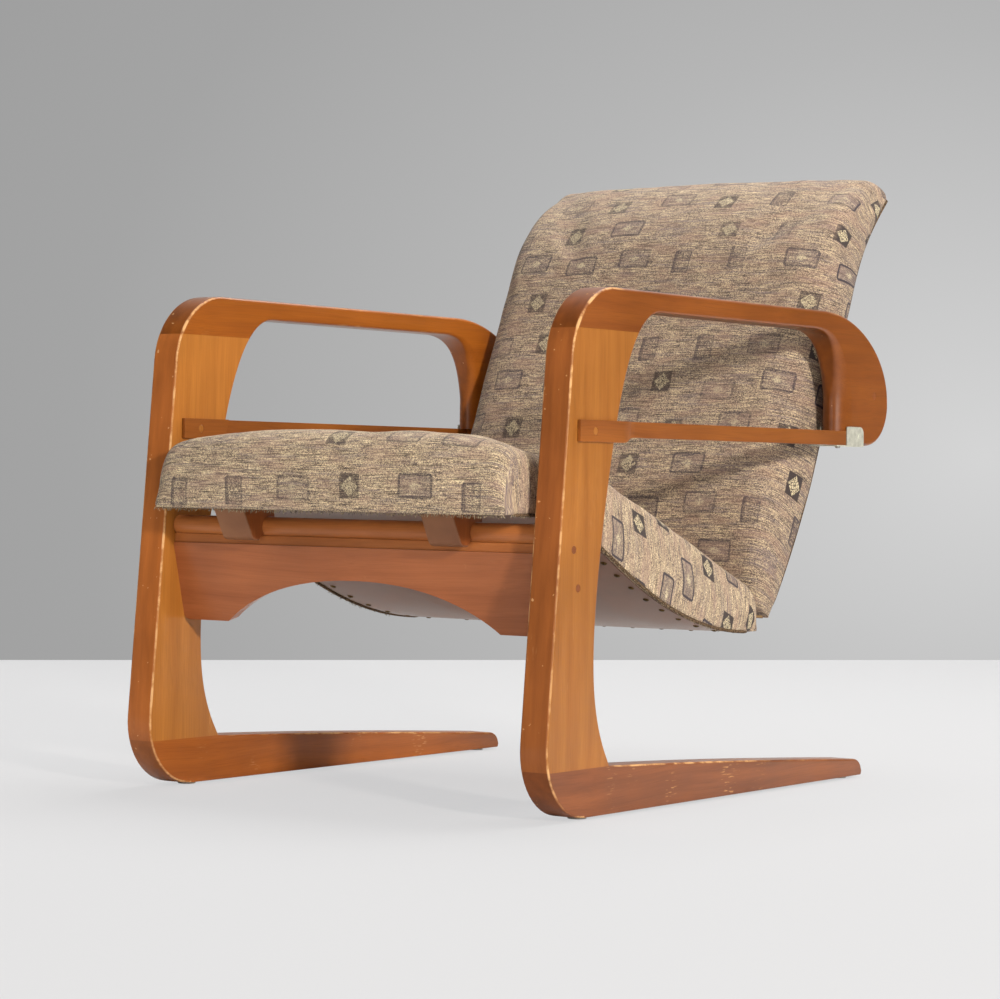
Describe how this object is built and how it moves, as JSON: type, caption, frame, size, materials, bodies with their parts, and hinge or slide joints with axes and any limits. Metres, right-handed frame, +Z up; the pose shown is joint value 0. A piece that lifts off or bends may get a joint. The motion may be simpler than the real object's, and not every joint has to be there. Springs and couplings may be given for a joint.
{
  "type": "lounge chair",
  "caption": "Lounge chair with C-shaped timber side frames, an arched apron, and an upholstered seat and back that hooks over a round front bar.",
  "frame": {"origin": "on the floor under the centre of the chair's bounding box", "axes": "+Z up, the sitter faces -Y, +X to the right of a viewer who stands in front of the chair"},
  "size_m": [0.628, 0.9346, 0.8112],
  "materials": {
    "frame_timber": "satin varnish",
    "dark_timber": "satin varnish",
    "red_timber": "satin varnish",
    "inner_timber": "plain sawn",
    "plated_steel": "dull nickel plate",
    "glide": "matt",
    "hook_leather": "worn",
    "woven_fabric": "heathered weave",
    "leather_cloth": "satin",
    "webbing": "plain",
    "tack_brass": "aged"
  },
  "bodies": {
    "chair_frame": {"left_foot": "dark_timber", "right_foot": "dark_timber", "left_leg": "frame_timber", "right_leg": "frame_timber", "left_arm": "frame_timber", "right_arm": "frame_timber", "foot_joint_dowels": "inner_timber", "arm_joint_dowels": "inner_timber", "left_side_rail": "dark_timber", "right_side_rail": "dark_timber", "rail_cheeks": "dark_timber", "rail_pins": "frame_timber", "left_rail_bracket": "plated_steel", "right_rail_bracket": "plated_steel", "bracket_screws": "plated_steel", "bracket_pins": "plated_steel", "apron": "red_timber", "bearer_strip": "dark_timber", "front_bar": "red_timber", "rear_bar": "red_timber", "frame_screws": "plated_steel", "frame_plugs": "dark_timber", "glides": "glide"},
    "seat_unit": {"left_hook": "red_timber", "right_hook": "red_timber", "hook_facings": "hook_leather", "hook_screws": "plated_steel", "seat_left_board": "inner_timber", "seat_right_board": "inner_timber", "seat_front_rail": "inner_timber", "seat_hook_rail": "inner_timber", "seat_rear_rail": "inner_timber", "seat_cross_webbing": "webbing", "seat_long_webbing": "webbing", "seat_pad": "woven_fabric", "seat_left_side_pad": "woven_fabric", "seat_right_side_pad": "woven_fabric", "underside_cover": "leather_cloth", "seat_tacks": "tack_brass", "back_left_stile": "inner_timber", "back_right_stile": "inner_timber", "back_top_rail": "inner_timber", "back_middle_rail": "inner_timber", "back_bottom_rail": "inner_timber", "back_cross_webbing": "webbing", "back_long_webbing": "webbing", "back_pad": "woven_fabric", "back_left_side_pad": "woven_fabric", "back_right_side_pad": "woven_fabric", "back_cover": "leather_cloth", "back_tacks": "tack_brass", "left_rest_block": "red_timber", "right_rest_block": "red_timber", "rest_screws": "plated_steel", "left_joining_strap": "plated_steel", "right_joining_strap": "plated_steel", "strap_screws": "plated_steel"}
  },
  "joints": [
    {"name": "seat_tilt", "type": "hinge", "parent": "chair_frame", "child": "seat_unit", "pos_m": [0, -0.3907, 0.3257], "axis": [1, 0, 0], "range_deg": [0, 14]}
  ]
}
